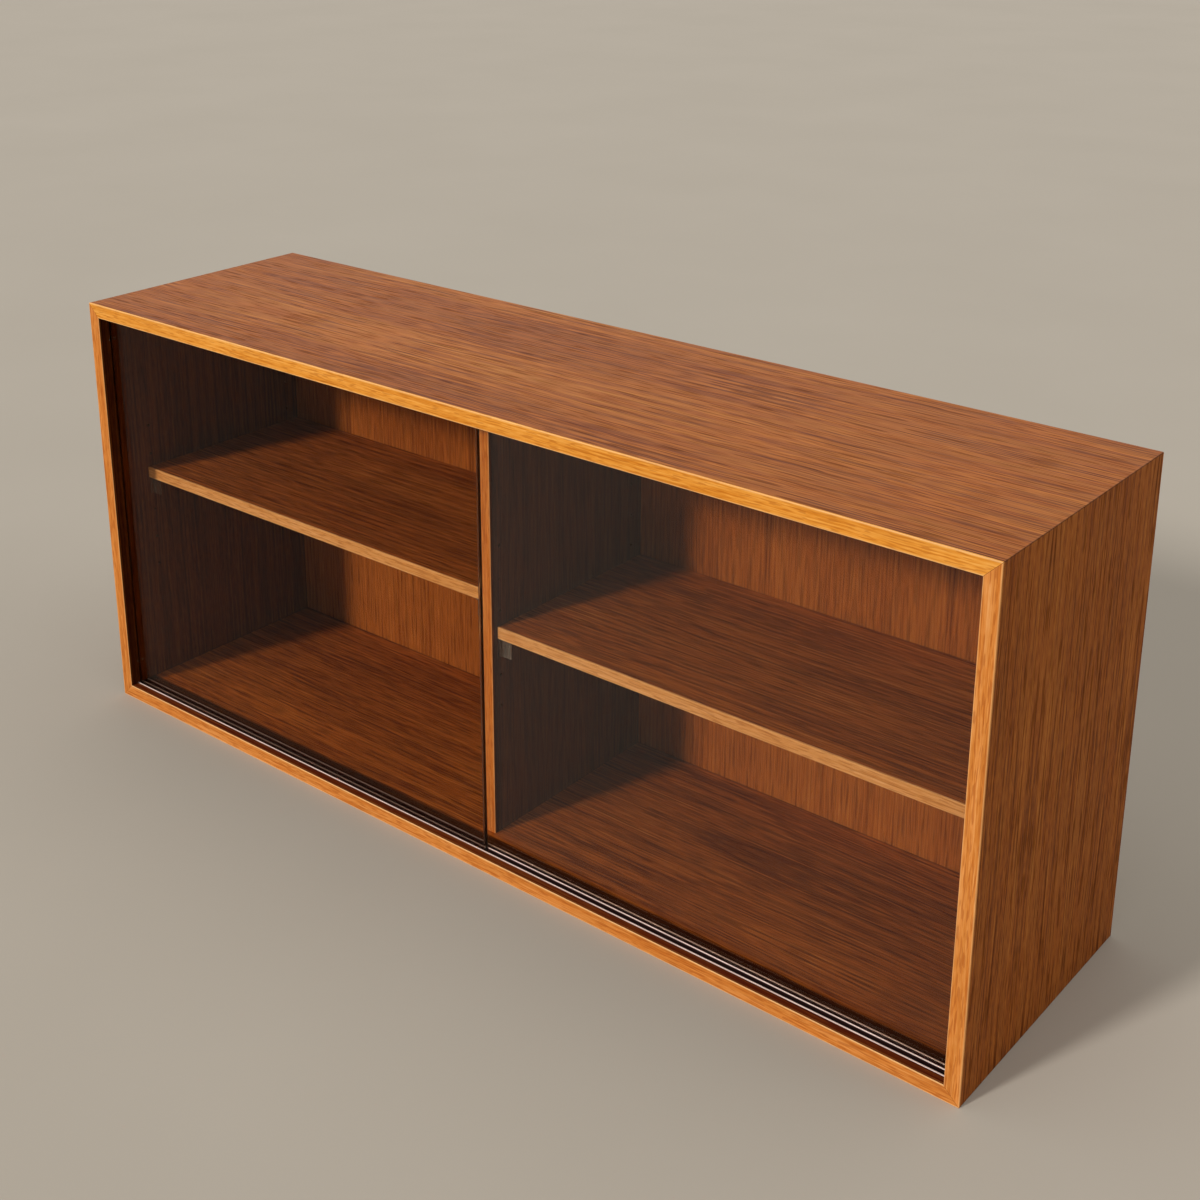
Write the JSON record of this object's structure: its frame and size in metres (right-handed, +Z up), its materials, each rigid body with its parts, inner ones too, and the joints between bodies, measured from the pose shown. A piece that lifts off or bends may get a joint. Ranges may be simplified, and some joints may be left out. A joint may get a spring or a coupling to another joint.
{
  "type": "bookcase with sliding doors",
  "caption": "Low teak bookcase: mitred case with a centre divider, an adjustable shelf in each bay and frameless smoked glass doors that slide past each other in plastic tracks.",
  "frame": {"origin": "on the floor, at the middle of the case's width and depth", "axes": "+X to the right as seen from the front, +Y to the back, +Z up; the doors face -Y"},
  "size_m": [1.6, 0.43, 0.7],
  "materials": {
    "teak_veneer": "oiled teak veneer on board, satin",
    "teak_lipping": "solid teak edging, satin",
    "beech": "planed, glued in place",
    "screw_steel": "plated slotted screws",
    "track_plastic": "extruded dark brown plastic, semi-gloss",
    "pad_rubber": "small clear stop pads",
    "clear_plastic": "moulded clear plastic",
    "smoked_glass": "polished float glass with a light smoke tint, ground edges"
  },
  "bodies": {
    "case": {"top_panel": "teak_veneer", "bottom_panel": "teak_veneer", "left_side": "teak_veneer", "right_side": "teak_veneer", "top_lipping": "teak_lipping", "bottom_lipping": "teak_lipping", "left_lipping": "teak_lipping", "right_lipping": "teak_lipping", "mitre_splines": "beech", "centre_divider": "teak_veneer", "divider_lipping": "teak_lipping", "divider_dowels": "beech", "back_panel": "teak_veneer", "back_panel_screws": "screw_steel", "bottom_track": "track_plastic", "top_track": "track_plastic", "bottom_track_screws": "screw_steel", "top_track_screws": "screw_steel", "left_door_pads": "pad_rubber", "right_door_pads": "pad_rubber", "left_shelf_front_left_support": "clear_plastic", "left_shelf_front_right_support": "clear_plastic", "left_shelf_rear_left_support": "clear_plastic", "left_shelf_rear_right_support": "clear_plastic", "right_shelf_front_left_support": "clear_plastic", "right_shelf_front_right_support": "clear_plastic", "right_shelf_rear_left_support": "clear_plastic", "right_shelf_rear_right_support": "clear_plastic"},
    "left_door": {"left_glass_door": "smoked_glass"},
    "right_door": {"right_glass_door": "smoked_glass"},
    "left_loose_shelf": {"left_shelf": "teak_veneer", "left_shelf_lipping": "teak_lipping"},
    "right_loose_shelf": {"right_shelf": "teak_veneer", "right_shelf_lipping": "teak_lipping"}
  },
  "joints": [
    {"name": "left_door_slide", "type": "slide", "parent": "case", "child": "left_door", "axis": [1, 0, 0], "range_m": [0, 0.746]},
    {"name": "right_door_slide", "type": "slide", "parent": "case", "child": "right_door", "axis": [-1, 0, 0], "range_m": [0, 0.794]},
    {"name": "left_shelf_lift", "type": "slide", "parent": "case", "child": "left_loose_shelf", "axis": [0, 0, 1], "range_m": [0, 0.1]},
    {"name": "right_shelf_lift", "type": "slide", "parent": "case", "child": "right_loose_shelf", "axis": [0, 0, 1], "range_m": [0, 0.15]}
  ]
}
